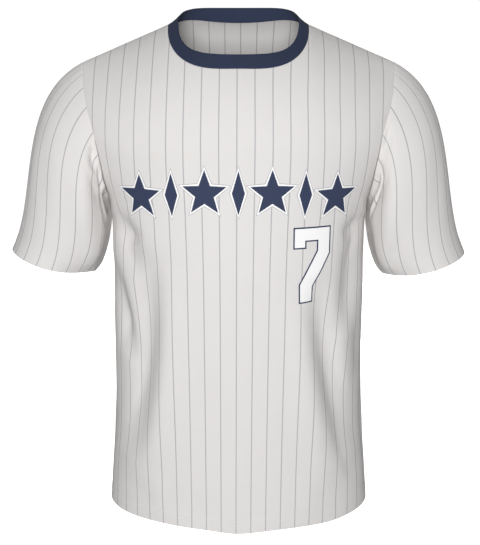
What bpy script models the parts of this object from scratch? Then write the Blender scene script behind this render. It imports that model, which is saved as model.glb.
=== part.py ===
"""Baseball t-shirt with a crew neck, set-in short sleeves and a straight hem, hollow and filled out as it is
when it is worn. Run it from Blender's text editor, or with blender --background --python part.py."""

import math
from collections import namedtuple

import bpy
import numpy as np

# Driving dimensions, in metres. +Z is up, the front faces -Y, and +X is on the wearer's left.
# The origin lies midway between the shoulders, a little under the neck points, where the wearer carries it.
CLOTH_THICKNESS = 0.0016
RIB_THICKNESS = 0.0024
SEAM_GAP = 0.0003
COLLAR_PULL_BACK = 0.00025  # its thicker wall twists more along the seam
BODY_LENGTH = 0.736
ARMPIT_LEVEL = -0.238

# The plan of the neck seam, and that of the collar's top edge.
NeckRing = namedtuple("NeckRing", "half_width front_reach back_reach front_roundness back_roundness")
NECK_SEAM = NeckRing(0.1010, 0.0810, 0.0660, 2.85, 2.4)
COLLAR_EDGE = NeckRing(0.0872, 0.0700, 0.0645, 2.50, 3.0)
COLLAR_FRONT_HEIGHT = -0.0305
COLLAR_SIDE_HEIGHT = 0.0175
COLLAR_SCOOP = 0.75  # how flat the front of the top edge runs before it climbs to the sides
COLLAR_BACK_HEIGHT = 0.0338

CUFF_OUTER = (0.3445, -0.3235)
CUFF_INNER = (0.2205, -0.3540)
CUFF_HALF_DEPTH = 0.064

# The torso as rings from the hem up. A ring's level is its height, until the levels near the top rise and
# fall with the shoulder line, which is level 0.
Ring = namedtuple("Ring", "level half_width front_depth back_depth roundness")
RINGS = (
    Ring(-0.736, 0.2090, 0.116, 0.118, 2.00),
    Ring(-0.690, 0.2055, 0.116, 0.118, 2.02),
    Ring(-0.620, 0.1998, 0.116, 0.117, 2.05),
    Ring(-0.500, 0.1965, 0.117, 0.112, 2.10),
    Ring(-0.380, 0.1935, 0.119, 0.112, 2.15),
    Ring(-0.280, 0.1915, 0.121, 0.117, 2.20),
    Ring(-0.238, 0.1940, 0.121, 0.120, 2.20),
    Ring(-0.200, 0.2090, 0.120, 0.122, 2.20),
    Ring(-0.150, 0.2290, 0.120, 0.123, 2.20),
    Ring(-0.100, 0.2425, 0.119, 0.123, 2.20),
    Ring(-0.050, 0.2540, 0.118, 0.122, 2.20),
    Ring(0.000, 0.2600, 0.118, 0.120, 2.20),
)

# Height of the shoulder line over each distance from the middle, from the neck point to past the shoulder tip.
Shoulder = namedtuple("Shoulder", "across height")
SHOULDER_LINE = (
    Shoulder(0.101, 0.0098),
    Shoulder(0.113, 0.0045),
    Shoulder(0.151, -0.0115),
    Shoulder(0.194, -0.0296),
    Shoulder(0.226, -0.0430),
    Shoulder(0.262, -0.0600),
)
SHOULDER_SLOPE_START = -0.22  # below this level the rings are flat

# How far the front hem sags below its level, over each distance across. The sag dies away up the front.
Sag = namedtuple("Sag", "across drop")
FRONT_HEM = (
    Sag(-0.210, 0.0000),
    Sag(-0.100, 0.0002),
    Sag(-0.050, 0.0027),
    Sag(0.000, 0.0070),
    Sag(0.050, 0.0034),
    Sag(0.100, 0.0026),
    Sag(0.145, 0.0034),
    Sag(0.180, 0.0016),
    Sag(0.210, 0.0000),
)
BACK_HEM = (
    Sag(-0.210, 0.0000),
    Sag(0.000, 0.0010),
    Sag(0.210, 0.0000),
)
HEM_SAG_FADE = 4

# How each panel turns over the shoulder: the rise towards the middle of the neck, the depth of the turn in
# levels, how softly it leaves the chest or the back, and how sharply it crosses the shoulder line.
Turn = namedtuple("Turn", "rise rise_power depth fall edge")
FRONT_TURN = Turn(0.012, 2.0, 0.165, 1.9, 0.8)
BACK_TURN = Turn(0.027, 5.0, 0.140, 2.0, 0.5)

# The armhole leaves the side of the body at the armpit and settles at one angle round the plan.
ARMHOLE_PLAN_ANGLE = math.radians(59)
ARMHOLE_CURVE_RISE = 0.12
ARMHOLE_CURVE_POWER = 0.65
NECK_CROWDING = 2.5  # how late the columns of a panel shift towards their ends at the top

# How the sleeve leaves the armhole and arrives at the cuff, at its top, its front or back, and its underside.
SleeveLine = namedtuple("SleeveLine", "out forward down pull")
SLEEVE_TOP_START = SleeveLine(0.895, 0.0, -0.445, 0.345)
SLEEVE_UNDER_START = SleeveLine(0.02, 0.0, -1.00, 0.100)
SLEEVE_TOP_END = SleeveLine(0.46, 0.0, -0.888, 0.290)
SLEEVE_UNDER_END = SleeveLine(0.72, 0.0, -0.69, 0.120)
SLEEVE_SIDE_BULGE = 0.34

# The largest folds: soft troughs (minus) and ridges (plus) along a bent line on a panel.
Fold = namedtuple("Fold", "start_x start_z end_x end_z bend width depth")
FRONT_FOLDS = (
    Fold(-0.118, -0.330, -0.196, -0.640, 0.010, 0.020, -0.0075),
    Fold(-0.092, -0.400, -0.150, -0.700, 0.006, 0.026, 0.0030),
    Fold(-0.186, -0.350, -0.150, -0.480, 0.004, 0.013, -0.0050),
    Fold(-0.190, -0.262, -0.150, -0.305, 0.000, 0.011, -0.0050),
    Fold(0.108, -0.370, 0.196, -0.650, -0.006, 0.018, -0.0085),
    Fold(0.085, -0.440, 0.140, -0.700, -0.006, 0.028, 0.0030),
    Fold(0.168, -0.285, 0.160, -0.450, 0.004, 0.015, -0.0060),
    Fold(0.190, -0.262, 0.155, -0.300, 0.000, 0.011, -0.0050),
)
BACK_FOLDS = (
    Fold(-0.120, -0.300, -0.060, -0.600, -0.012, 0.024, -0.0070),
    Fold(0.125, -0.320, 0.070, -0.560, 0.010, 0.022, -0.0065),
    Fold(-0.175, -0.330, -0.188, -0.560, 0.006, 0.018, -0.0060),
    Fold(0.178, -0.350, 0.188, -0.600, -0.006, 0.018, -0.0060),
    Fold(0.000, -0.420, 0.012, -0.690, 0.008, 0.030, -0.0040),
    Fold(-0.188, -0.262, -0.130, -0.312, -0.006, 0.012, -0.0050),
    Fold(0.188, -0.262, 0.125, -0.320, 0.006, 0.012, -0.0050),
)
SMOOTH_SEAM_COSINE = 0.6  # two pieces that meet within this turn share their seam's normals
FOLD_FADE = 0.6  # how abruptly a fold begins and ends
SLEEVE_FOLD_COUNT = 3
SLEEVE_FOLD_DEPTH = 0.0032
SLEEVE_FOLD_TOP = 0.375  # the cosine round the sleeve above which it has no folds

# How finely each panel is divided.
FRONT_NECK_STEPS = 18
FRONT_SHOULDER_STEPS = 8
BACK_NECK_STEPS = 14
BACK_SHOULDER_STEPS = 7
BODY_ROWS = 16
ARMHOLE_ROWS = 12
SLEEVE_ROWS = 11
COLLAR_ROWS = 3

SHIRT_WHITE = (0.78, 0.77, 0.76, 1.0)
COLLAR_NAVY = (0.035, 0.047, 0.085, 1.0)


def curve_through(places, values, at):
    """A smooth curve through the values, with each slope taken from the neighbouring ones."""
    places, values = np.asarray(places), np.asarray(values)
    slopes = np.gradient(values, places)
    at = np.clip(at, places[0], places[-1])
    index = np.clip(np.searchsorted(places, at) - 1, 0, len(places) - 2)
    width = places[index + 1] - places[index]
    t = (at - places[index]) / width
    return (
        values[index] * (1 + 2 * t) * (1 - t) ** 2
        + values[index + 1] * t**2 * (3 - 2 * t)
        + slopes[index] * width * t * (1 - t) ** 2
        - slopes[index + 1] * width * t**2 * (1 - t)
    )


def smooth_step(t):
    t = np.clip(t, 0.0, 1.0)
    return t * t * (3 - 2 * t)


def ring_value(column, level):
    return curve_through([ring.level for ring in RINGS], [getattr(ring, column) for ring in RINGS], level)


class Torso:
    """The form of the front (side -1) or the back (side +1), by level and by angle round the plan."""

    def __init__(self, side, turn, depth_column, hem, folds):
        self.side = side
        self.turn = turn
        self.depth_column = depth_column
        self.hem = hem
        self.folds = folds

    def shoulder_height(self, across):
        """Height of the shoulder line, which goes on rising inside the neck so that the cloth reaches the collar."""
        across = np.abs(across)
        outer = curve_through([row.across for row in SHOULDER_LINE], [row.height for row in SHOULDER_LINE], across)
        inside = 1 - np.minimum(across / NECK_SEAM.half_width, 1.0) ** self.turn.rise_power
        return outer + self.turn.rise * inside

    def depth(self, level):
        """Distance of the middle of the panel from the plane of the shoulder line."""
        t = np.clip(-level / self.turn.depth, 0.0, 1.0)
        return ring_value(self.depth_column, level) * (1 - (1 - t) ** self.turn.fall) ** self.turn.edge

    def point(self, plan_angle, level):
        power = 2 / ring_value("roundness", level)
        across = np.sign(plan_angle) * np.abs(np.sin(plan_angle)) ** power
        x = ring_value("half_width", level) * across
        y = self.side * self.depth(level) * np.abs(np.cos(plan_angle)) ** power
        slope = smooth_step((level - SHOULDER_SLOPE_START) / -SHOULDER_SLOPE_START)
        sag = curve_through([row.across for row in self.hem], [row.drop for row in self.hem], x)
        sag = sag * (level / BODY_LENGTH) ** HEM_SAG_FADE
        return np.stack([x, y, level + self.shoulder_height(x) * slope - sag], axis=-1)

    def place_under(self, x, reach):
        """The plan angle and level of the point of the panel at x that lies this far from the shoulder plane."""
        levels = np.linspace(SHOULDER_SLOPE_START, 0.0, 400)
        roundness = ring_value("roundness", levels)
        across = np.abs(x) / ring_value("half_width", levels)
        reaches = self.depth(levels) * (1 - across**roundness) ** (1 / roundness)
        level = np.interp(-reach, -reaches, levels)
        across = np.abs(x) / ring_value("half_width", level)
        return np.sign(x) * np.arcsin(across ** (ring_value("roundness", level) / 2)), level


def armhole_angle(level):
    """Plan angle of a panel's side edge: the side seam up to the armpit, then the armhole."""
    rise = np.clip((level - ARMPIT_LEVEL) / ARMHOLE_CURVE_RISE, 0.0, 1.0)
    turned = (1 - (1 - rise) ** 2) ** ARMHOLE_CURVE_POWER
    return math.pi / 2 - (math.pi / 2 - ARMHOLE_PLAN_ANGLE) * turned


def neck_plan(turn_angle, ring):
    """Plan of a neck ring. The turn angle is 0 at the middle of the front and 180 degrees at the back."""
    sine, cosine = np.sin(turn_angle), np.cos(turn_angle)
    power = 2 / np.where(cosine > 0, ring.front_roundness, ring.back_roundness)
    reach = np.where(cosine > 0, ring.front_reach, ring.back_reach)
    return ring.half_width * np.sign(sine) * np.abs(sine) ** power, reach * np.abs(cosine) ** power


def even_steps(points, count):
    """Fractions of the way along a dense line that part it into equal lengths."""
    lengths = np.concatenate([[0], np.cumsum(np.linalg.norm(np.diff(points, axis=0), axis=1))])
    return np.interp(np.linspace(0, lengths[-1], count + 1), lengths, np.linspace(0, 1, len(points)))


def neck_turns(torso, count):
    """Turn angles that divide this panel's half of the neck seam evenly, from its -X end to its +X end."""
    quarter = np.linspace(0, math.pi / 2, 200)
    turns = quarter if torso.side < 0 else math.pi - quarter
    x, reach = neck_plan(turns, NECK_SEAM)
    line = [torso.point(*torso.place_under(*place)) for place in zip(x, reach)]
    half = np.interp(even_steps(np.array(line), count // 2), np.linspace(0, 1, 200), turns)
    return np.concatenate([-half[:0:-1], half])


def profile_length(torso):
    """Levels and the length of cloth up to each, along the middle of the panel."""
    levels = -BODY_LENGTH * (1 - np.linspace(0, 1, 3000)) ** 2
    line = torso.point(np.zeros_like(levels), levels)
    lengths = np.concatenate([[0], np.cumsum(np.linalg.norm(np.diff(line, axis=0), axis=1))])
    return levels, lengths


def panel_grid(torso, neck_steps, shoulder_steps):
    """Outer points of a body panel, [column][row], from the hem up to the shoulder seams and the neckline.

    The columns are evenly placed up to the armpit. Above it the outer ones follow the armhole in, and near
    the top all shift, so that each ends at its own place on a shoulder seam or on the neck seam."""
    turns = neck_turns(torso, neck_steps)
    neck_x, neck_reach = neck_plan(turns, NECK_SEAM)
    places = np.array([torso.place_under(*place) for place in zip(neck_x, neck_reach)])
    outer = np.linspace(places[-1, 0], ARMHOLE_PLAN_ANGLE, shoulder_steps + 1)[1:]
    top_angles = np.concatenate([-outer[::-1], places[:, 0], outer])
    top_levels = np.concatenate([outer * 0, places[:, 1], outer * 0])

    levels, lengths = profile_length(torso)
    armpit_length = np.interp(ARMPIT_LEVEL, levels, lengths)
    columns = []
    for across, top_angle, top_level in zip(np.linspace(-1, 1, len(top_angles)), top_angles, top_levels):
        below = np.linspace(0, armpit_length, BODY_ROWS + 1)
        above = np.linspace(armpit_length, np.interp(top_level, levels, lengths), ARMHOLE_ROWS + 1)[1:]
        level = np.interp(np.concatenate([below, above]), lengths, levels)
        level[-1] = top_level
        angle = across * (math.pi / 2 - np.abs(across) * (math.pi / 2 - armhole_angle(level)))
        rise = np.concatenate([below * 0, np.arange(1, ARMHOLE_ROWS + 1) / ARMHOLE_ROWS])
        columns.append(torso.point(angle + (top_angle - angle[-1]) * rise**NECK_CROWDING, level))
    neck = slice(shoulder_steps, shoulder_steps + neck_steps + 1)
    return np.array(columns), neck, turns


def grid_normals(points, closed=False):
    """Unit normals of a grid. A closed grid joins its last column to its first."""
    if closed:
        along = (np.roll(points, -1, axis=0) - np.roll(points, 1, axis=0)) / 2
    else:
        along = np.gradient(points, axis=0, edge_order=2)
    normals = np.cross(along, np.gradient(points, axis=1, edge_order=2))
    return normals / np.linalg.norm(normals, axis=-1, keepdims=True)


def fold_relief(folds, points):
    """How far the folds move each point of a panel along its normal."""
    relief = np.zeros(points.shape[:2])
    along = np.linspace(0, 1, 25)
    for fold in folds:
        start = np.array([fold.start_x, fold.start_z])
        end = np.array([fold.end_x, fold.end_z])
        side = np.array([start[1] - end[1], end[0] - start[0]]) / np.linalg.norm(end - start)
        line = start + np.outer(along, end - start) + np.outer(4 * along * (1 - along), side) * fold.bend
        distance = np.linalg.norm(points[:, :, None, [0, 2]] - line, axis=-1)
        nearest = distance.argmin(axis=-1)
        fade = np.clip(np.sin(math.pi * along[nearest]), 0, 1) ** FOLD_FADE
        relief += fold.depth * fade * np.exp(-((distance.min(axis=-1) / fold.width) ** 2))
    return relief


def flatten_seam_normals(normals, shoulder_steps):
    """Front and back share the normal of the side seam and of the shoulder seam, which has no part along Y."""
    for edge in (normals[0, : BODY_ROWS + 1], normals[-1, : BODY_ROWS + 1]):
        edge[:, 1] = 0
    for edge in (normals[: shoulder_steps + 1, -1], normals[-shoulder_steps - 1 :, -1]):
        edge[:, 1] = 0
    normals /= np.linalg.norm(normals, axis=-1, keepdims=True)


def body_panel(torso, neck_steps, shoulder_steps):
    points, neck, turns = panel_grid(torso, neck_steps, shoulder_steps)
    outward = -torso.side
    normals = outward * grid_normals(points)
    points = points + normals * fold_relief(torso.folds, points)[:, :, None]
    normals = outward * grid_normals(points)
    flatten_seam_normals(normals, shoulder_steps)
    return points, normals, neck, turns


def armhole_ring(side, front, back):
    """One armhole, from the shoulder tip down the front to the armpit and up the back, not repeating the tip."""
    edge = -1 if side > 0 else 0
    return np.concatenate([front[edge, BODY_ROWS:][::-1], back[edge, BODY_ROWS + 1 : -1]])


def ring_angles(ring):
    """0 at the shoulder tip, 180 degrees at the armpit and on round the back, by length along each half."""
    half = ARMHOLE_ROWS
    closed = np.concatenate([ring, ring[:1]])
    steps = np.linalg.norm(np.diff(closed, axis=0), axis=1)
    front = np.cumsum(steps[:half]) / steps[:half].sum()
    back = np.cumsum(steps[half:]) / steps[half:].sum()
    return math.pi * np.concatenate([[0], front, 1 + back[:-1]])


def line_vector(top, under, weight, side):
    """A tangent of the sleeve, between its top (weight 1) and its underside (weight 0)."""
    mixed = [weight * a + (1 - weight) * b for a, b in zip(top, under)]
    direction = np.stack([side * mixed[0], mixed[1], mixed[2]], axis=-1)
    return direction / np.linalg.norm(direction, axis=-1, keepdims=True), mixed[3]


def sleeve_grid(side, ring):
    """Outer points of a sleeve, [place round it][row], from the armhole to the cuff."""
    angle = ring_angles(ring)
    weight = (1 + np.cos(angle)) / 2
    outer, inner = np.array(CUFF_OUTER), np.array(CUFF_INNER)
    middle = (outer + inner) / 2 + np.outer(np.cos(angle), outer - inner) / 2
    cuff = np.stack([side * middle[:, 0], -CUFF_HALF_DEPTH * np.sin(angle), middle[:, 1]], axis=-1)

    start, start_pull = line_vector(SLEEVE_TOP_START, SLEEVE_UNDER_START, weight, side)
    start[:, 1] -= SLEEVE_SIDE_BULGE * np.sin(angle)
    end, end_pull = line_vector(SLEEVE_TOP_END, SLEEVE_UNDER_END, weight, side)
    start, end = start * start_pull[:, None], end * end_pull[:, None]

    t = np.linspace(0, 1, SLEEVE_ROWS + 1)[None, :, None]
    points = (
        ring[:, None] * (1 + 2 * t) * (1 - t) ** 2
        + cuff[:, None] * t**2 * (3 - 2 * t)
        + start[:, None] * t * (1 - t) ** 2
        - end[:, None] * t**2 * (1 - t)
    )
    return points, angle, t[0, :, 0]


def sleeve_relief(angle, t):
    """Short folds that fan out from the armpit, fading before the cuff."""
    fan = np.cos(SLEEVE_FOLD_COUNT * 2 * angle)[:, None]
    near_armpit = smooth_step((SLEEVE_FOLD_TOP - np.cos(angle))[:, None])
    return -SLEEVE_FOLD_DEPTH * fan * near_armpit * (np.sin(math.pi * t) * (1 - 0.5 * t))[None, :]


def sleeve_panel(side, ring):
    points, angle, t = sleeve_grid(side, ring)
    normals = side * grid_normals(points, closed=True)
    points = points + normals * sleeve_relief(angle, t)[:, :, None]
    return points, side * grid_normals(points, closed=True)


def share_normals(first, second):
    """Seam normals that two pieces share where they run on smoothly, and each keeps where they fold apart."""
    together = smooth_step(np.sum(first * second, axis=-1, keepdims=True) / SMOOTH_SEAM_COSINE)
    mean = (first + second) / 2
    shared = []
    for own in (first, second):
        mixed = mean * together + own * (1 - together)
        shared.append(mixed / np.linalg.norm(mixed, axis=-1, keepdims=True))
    return shared


def collar_grid(seam, turns):
    """Outer points of the neckband, [place round the neck][row], from the neck seam to its top edge."""
    x, reach = neck_plan(turns, COLLAR_EDGE)
    ahead = np.cos(turns)
    eased = np.sin(math.pi / 2 * np.abs(ahead))
    scoop = COLLAR_SCOOP * eased + (1 - COLLAR_SCOOP) * np.abs(ahead)
    front = (COLLAR_FRONT_HEIGHT - COLLAR_SIDE_HEIGHT) * scoop
    back = (COLLAR_BACK_HEIGHT - COLLAR_SIDE_HEIGHT) * eased
    z = COLLAR_SIDE_HEIGHT + np.where(ahead > 0, front, back)
    top = np.stack([x, -np.sign(ahead) * reach, z], axis=-1)
    t = np.linspace(0, 1, COLLAR_ROWS + 1)[None, :, None]
    return seam[:, None] + (top - seam)[:, None] * t


def pull_back(points, normals, edge, next_line, distance=SEAM_GAP / 2):
    """Draws one edge of a grid back from the seam, within the cloth."""
    inward = np.cross(normals[edge], np.gradient(points[edge], axis=0))
    inward *= np.sign(np.sum(inward * (points[next_line] - points[edge])))
    points[edge] += inward / np.linalg.norm(inward, axis=-1, keepdims=True) * distance


def material(name, colour, roughness):
    made = bpy.data.materials.new(name)
    made.use_nodes = True
    shader = made.node_tree.nodes["Principled BSDF"]
    shader.inputs["Base Color"].default_value = colour
    shader.inputs["Roughness"].default_value = roughness
    shader.inputs["Metallic"].default_value = 0.0
    return made


def wall(name, outer, normals, thickness, finish, closed=False, flipped=False):
    """One closed wall of cloth between the outer grid and the same grid moved in along its normals."""
    columns, rows = outer.shape[:2]
    inner = outer - normals * thickness
    vertices = np.concatenate([outer.reshape(-1, 3), inner.reshape(-1, 3)])
    inside = columns * rows

    def at(column, row):
        return (column % columns) * rows + row

    faces = []
    for column in range(columns if closed else columns - 1):
        for row in range(rows - 1):
            quad = [at(column, row), at(column + 1, row), at(column + 1, row + 1), at(column, row + 1)]
            if column >= columns // 2:
                quad = quad[1:] + quad[:1]  # both halves are divided alike, as in a mirror
            faces.append(quad)
            faces.append([inside + corner for corner in (quad[0], quad[3], quad[2], quad[1])])
        for row, turned in ((0, True), (rows - 1, False)):
            rim = [at(column, row), at(column + 1, row), inside + at(column + 1, row), inside + at(column, row)]
            faces.append(rim[::-1] if turned else rim)
    if not closed:
        for column, turned in ((0, False), (columns - 1, True)):
            for row in range(rows - 1):
                rim = [at(column, row), at(column, row + 1), inside + at(column, row + 1), inside + at(column, row)]
                faces.append(rim[::-1] if turned else rim)
    if flipped:
        faces = [face[::-1] for face in faces]
    mesh = bpy.data.meshes.new(name)
    mesh.from_pydata(vertices.tolist(), [], faces)
    mesh.shade_smooth()
    mesh.set_sharp_from_angle(angle=math.radians(50))
    mesh.materials.append(finish)
    bpy.context.scene.collection.objects.link(bpy.data.objects.new(name, mesh))


def make_shirt():
    for old in list(bpy.data.objects):
        bpy.data.objects.remove(old, do_unlink=True)

    front_form = Torso(-1, FRONT_TURN, "front_depth", FRONT_HEM, FRONT_FOLDS)
    back_form = Torso(1, BACK_TURN, "back_depth", BACK_HEM, BACK_FOLDS)
    front, front_normals, front_neck, front_turns = body_panel(front_form, FRONT_NECK_STEPS, FRONT_SHOULDER_STEPS)
    back, back_normals, back_neck, back_turns = body_panel(back_form, BACK_NECK_STEPS, BACK_SHOULDER_STEPS)

    sleeves = {}
    for name, side in (("sleeve_left", 1), ("sleeve_right", -1)):
        ring = armhole_ring(side, front, back)
        points, normals = sleeve_panel(side, ring)
        edge = -1 if side > 0 else 0
        half = ARMHOLE_ROWS
        front_edge = front_normals[edge, BODY_ROWS:][::-1]
        front_shared, sleeve_front = share_normals(front_edge, normals[: half + 1, 0])
        back_edge = back_normals[edge, BODY_ROWS:]
        sleeve_back_edge = np.concatenate([normals[half:, 0], normals[:1, 0]])
        back_shared, sleeve_back = share_normals(back_edge, sleeve_back_edge)
        front_normals[edge, BODY_ROWS:] = front_shared[::-1]
        back_normals[edge, BODY_ROWS:] = back_shared
        normals[: half + 1, 0] = sleeve_front
        normals[half + 1 :, 0] = sleeve_back[1:-1]
        sleeves[name] = (side, points, normals)

    seam = np.concatenate([front[front_neck, -1], back[back_neck, -1][-2:0:-1]])
    turns = np.concatenate([front_turns, back_turns[-2:0:-1]])
    collar = collar_grid(seam, turns)
    collar_normals = grid_normals(collar, closed=True)
    steps = FRONT_NECK_STEPS
    front_shared, collar_front = share_normals(front_normals[front_neck, -1], collar_normals[: steps + 1, 0])
    back_rim = np.concatenate([collar_normals[steps:, 0], collar_normals[:1, 0]])
    back_shared, collar_back = share_normals(back_normals[back_neck, -1][::-1], back_rim)
    front_normals[front_neck, -1] = front_shared
    back_normals[back_neck, -1] = back_shared[::-1]
    collar_normals[: steps + 1, 0] = collar_front
    collar_normals[steps + 1 :, 0] = collar_back[1:-1]

    first_row, second_row = (slice(None), 0), (slice(None), 1)
    for points, normals in ((front, front_normals), (back, back_normals)):
        pull_back(points, normals, 0, 1)
        pull_back(points, normals, -1, -2)
        pull_back(points, normals, (slice(None), -1), (slice(None), -2))
    pull_back(collar, collar_normals, first_row, second_row, COLLAR_PULL_BACK)

    white = material("jersey_white", SHIRT_WHITE, 0.85)
    wall("front", front, front_normals, CLOTH_THICKNESS, white)
    wall("back", back, back_normals, CLOTH_THICKNESS, material("jersey_back", SHIRT_WHITE, 0.85), flipped=True)
    for name, (side, points, normals) in sleeves.items():
        pull_back(points, normals, first_row, second_row)
        finish = material(name + "_jersey", SHIRT_WHITE, 0.85)
        wall(name, points, normals, CLOTH_THICKNESS, finish, closed=True, flipped=side < 0)
    wall("collar", collar, collar_normals, RIB_THICKNESS, material("rib_navy", COLLAR_NAVY, 0.8), closed=True)


make_shirt()
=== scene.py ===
import math
from collections import namedtuple

import bmesh
import bpy
import numpy as np
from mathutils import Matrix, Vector


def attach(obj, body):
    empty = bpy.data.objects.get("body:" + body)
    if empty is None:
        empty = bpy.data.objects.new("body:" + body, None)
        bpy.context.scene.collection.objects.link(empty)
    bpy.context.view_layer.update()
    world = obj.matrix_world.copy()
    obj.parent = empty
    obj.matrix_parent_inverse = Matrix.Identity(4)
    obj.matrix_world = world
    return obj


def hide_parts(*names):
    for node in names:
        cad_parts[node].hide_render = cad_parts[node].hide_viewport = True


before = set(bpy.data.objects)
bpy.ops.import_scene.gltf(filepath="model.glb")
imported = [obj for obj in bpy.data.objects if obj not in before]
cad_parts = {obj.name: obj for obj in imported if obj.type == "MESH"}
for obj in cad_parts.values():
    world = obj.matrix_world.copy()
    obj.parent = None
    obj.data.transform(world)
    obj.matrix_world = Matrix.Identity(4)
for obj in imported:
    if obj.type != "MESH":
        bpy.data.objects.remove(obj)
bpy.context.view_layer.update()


# Front panel
# The front is one piece of white jersey knit with fine printed pinstripes, cut on the straight grain from the
# shoulders to the hem. Its form is that of a worn shirt with nobody in it, with the folds that the hang leaves
# below the armpits. It is overlocked to the back at the sides and the shoulders.
BODY_LENGTH = 0.736
ARMPIT_LEVEL = -0.238

Ring = namedtuple("Ring", "level half_width front_depth back_depth roundness")
RINGS = (
    Ring(-0.736, 0.2090, 0.116, 0.118, 2.00),
    Ring(-0.690, 0.2055, 0.116, 0.118, 2.02),
    Ring(-0.620, 0.1998, 0.116, 0.117, 2.05),
    Ring(-0.500, 0.1965, 0.117, 0.112, 2.10),
    Ring(-0.380, 0.1935, 0.119, 0.112, 2.15),
    Ring(-0.280, 0.1915, 0.121, 0.117, 2.20),
    Ring(-0.238, 0.1940, 0.121, 0.120, 2.20),
    Ring(-0.200, 0.2090, 0.120, 0.122, 2.20),
    Ring(-0.150, 0.2290, 0.120, 0.123, 2.20),
    Ring(-0.100, 0.2425, 0.119, 0.123, 2.20),
    Ring(-0.050, 0.2540, 0.118, 0.122, 2.20),
    Ring(0.000, 0.2600, 0.118, 0.120, 2.20),
)

Shoulder = namedtuple("Shoulder", "across height")
SHOULDER_LINE = (
    Shoulder(0.101, 0.0098),
    Shoulder(0.113, 0.0045),
    Shoulder(0.151, -0.0115),
    Shoulder(0.194, -0.0296),
    Shoulder(0.226, -0.0430),
    Shoulder(0.262, -0.0600),
)
SHOULDER_SLOPE_START = -0.22  # below this level the rings are flat

Sag = namedtuple("Sag", "across drop")
FRONT_HEM = (
    Sag(-0.210, 0.0000),
    Sag(-0.100, 0.0002),
    Sag(-0.050, 0.0027),
    Sag(0.000, 0.0070),
    Sag(0.050, 0.0034),
    Sag(0.100, 0.0026),
    Sag(0.145, 0.0034),
    Sag(0.180, 0.0016),
    Sag(0.210, 0.0000),
)
HEM_SAG_FADE = 4

Turn = namedtuple("Turn", "rise rise_power depth fall edge")
FRONT_TURN = Turn(0.012, 2.0, 0.165, 1.9, 0.8)

NeckRing = namedtuple("NeckRing", "half_width front_reach back_reach front_roundness back_roundness")
NECK_SEAM = NeckRing(0.1010, 0.0810, 0.0660, 2.85, 2.4)

ARMHOLE_PLAN_ANGLE = math.radians(59)
ARMHOLE_CURVE_RISE = 0.12
ARMHOLE_CURVE_POWER = 0.65
NECK_CROWDING = 2.5

Fold = namedtuple("Fold", "start_x start_z end_x end_z bend width depth taken", defaults=[0.0])
FRONT_FOLDS = (
    Fold(-0.134, -0.295, -0.172, -0.640, 0.014, 0.024, -0.0165, 0.008),
    Fold(-0.104, -0.320, -0.148, -0.690, 0.008, 0.027, 0.0080),
    Fold(-0.191, -0.325, -0.168, -0.484, 0.004, 0.012, -0.0110),
    Fold(-0.186, -0.256, -0.152, -0.300, 0.002, 0.016, -0.0100),
    Fold(-0.164, -0.270, -0.160, -0.350, 0.003, 0.018, -0.0075),
    Fold(-0.183, -0.380, -0.189, -0.690, 0.000, 0.019, -0.0036),
    Fold(0.112, -0.335, 0.174, -0.635, -0.006, 0.022, -0.0160, 0.006),
    Fold(0.086, -0.350, 0.142, -0.690, -0.004, 0.027, 0.0075),
    Fold(0.172, -0.262, 0.160, -0.440, 0.002, 0.018, -0.0110),
    Fold(0.186, -0.256, 0.156, -0.292, 0.000, 0.014, -0.0080),
    Fold(0.182, -0.360, 0.188, -0.690, 0.000, 0.019, -0.0060),
)
FRONT_CREASES = (
    Fold(-0.176, -0.246, -0.128, -0.226, 0.003, 0.005, -0.0012),
    Fold(-0.182, -0.275, -0.158, -0.335, 0.003, 0.006, -0.0014),
    Fold(-0.150, -0.500, -0.176, -0.590, 0.004, 0.008, -0.0018),
    Fold(-0.172, -0.400, -0.184, -0.470, 0.002, 0.006, -0.0018),
    Fold(-0.120, -0.655, -0.128, -0.730, 0.000, 0.016, 0.0016),
    Fold(-0.060, -0.670, -0.064, -0.738, 0.002, 0.022, -0.0012),
    Fold(0.020, -0.660, 0.016, -0.740, 0.002, 0.018, -0.0010),
    Fold(0.178, -0.248, 0.132, -0.222, -0.003, 0.005, -0.0012),
    Fold(0.183, -0.280, 0.166, -0.330, -0.003, 0.006, -0.0020),
    Fold(0.142, -0.440, 0.178, -0.560, -0.004, 0.008, -0.0018),
    Fold(0.148, -0.560, 0.186, -0.690, -0.006, 0.010, -0.0018),
    Fold(0.178, -0.420, 0.190, -0.520, 0.002, 0.007, -0.0018),
    Fold(0.104, -0.650, 0.112, -0.735, 0.000, 0.018, 0.0014),
    Fold(-0.120, -0.120, -0.150, -0.190, 0.004, 0.020, -0.0010),
    Fold(0.118, -0.115, 0.152, -0.190, -0.004, 0.020, -0.0010),
)
FOLD_FADE = 0.9
Press = namedtuple("Press", "level depth")
SIDE_PRESS = (
    Press(-0.600, 0.0000),
    Press(-0.540, 0.0028),
    Press(-0.460, 0.0040),
    Press(-0.390, 0.0024),
    Press(-0.330, 0.0006),
    Press(-0.270, 0.0000),
)
SIDE_HOLD = 0.018
Ease = namedtuple("Ease", "level stretch")
EASE = (
    Ease(-0.740, -0.045),
    Ease(-0.600, -0.035),
    Ease(-0.450, -0.020),
    Ease(-0.330, -0.005),
    Ease(-0.250, 0.020),
    Ease(-0.160, 0.047),
    Ease(-0.080, 0.030),
    Ease(0.000, 0.020),
)
PANEL_HALF_CUT = 0.27
STRIPE_LEAN = 0.0038
SHOULDER_LEAN = 0.0045
SHOULDER_LEAN_LEVEL = -0.110
SHOULDER_LEAN_REACH = 0.100

FRONT_NECK_STEPS = 92
FRONT_SHOULDER_STEPS = 44
BODY_ROWS = 92
ARMHOLE_ROWS = 92
HEM_CROWDING = 1.3  # how much closer the rows lie at the hem, and then at the neck and the armholes
TOP_CROWDING = 1.35
SIDE_CROWDING = 0.25

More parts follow.
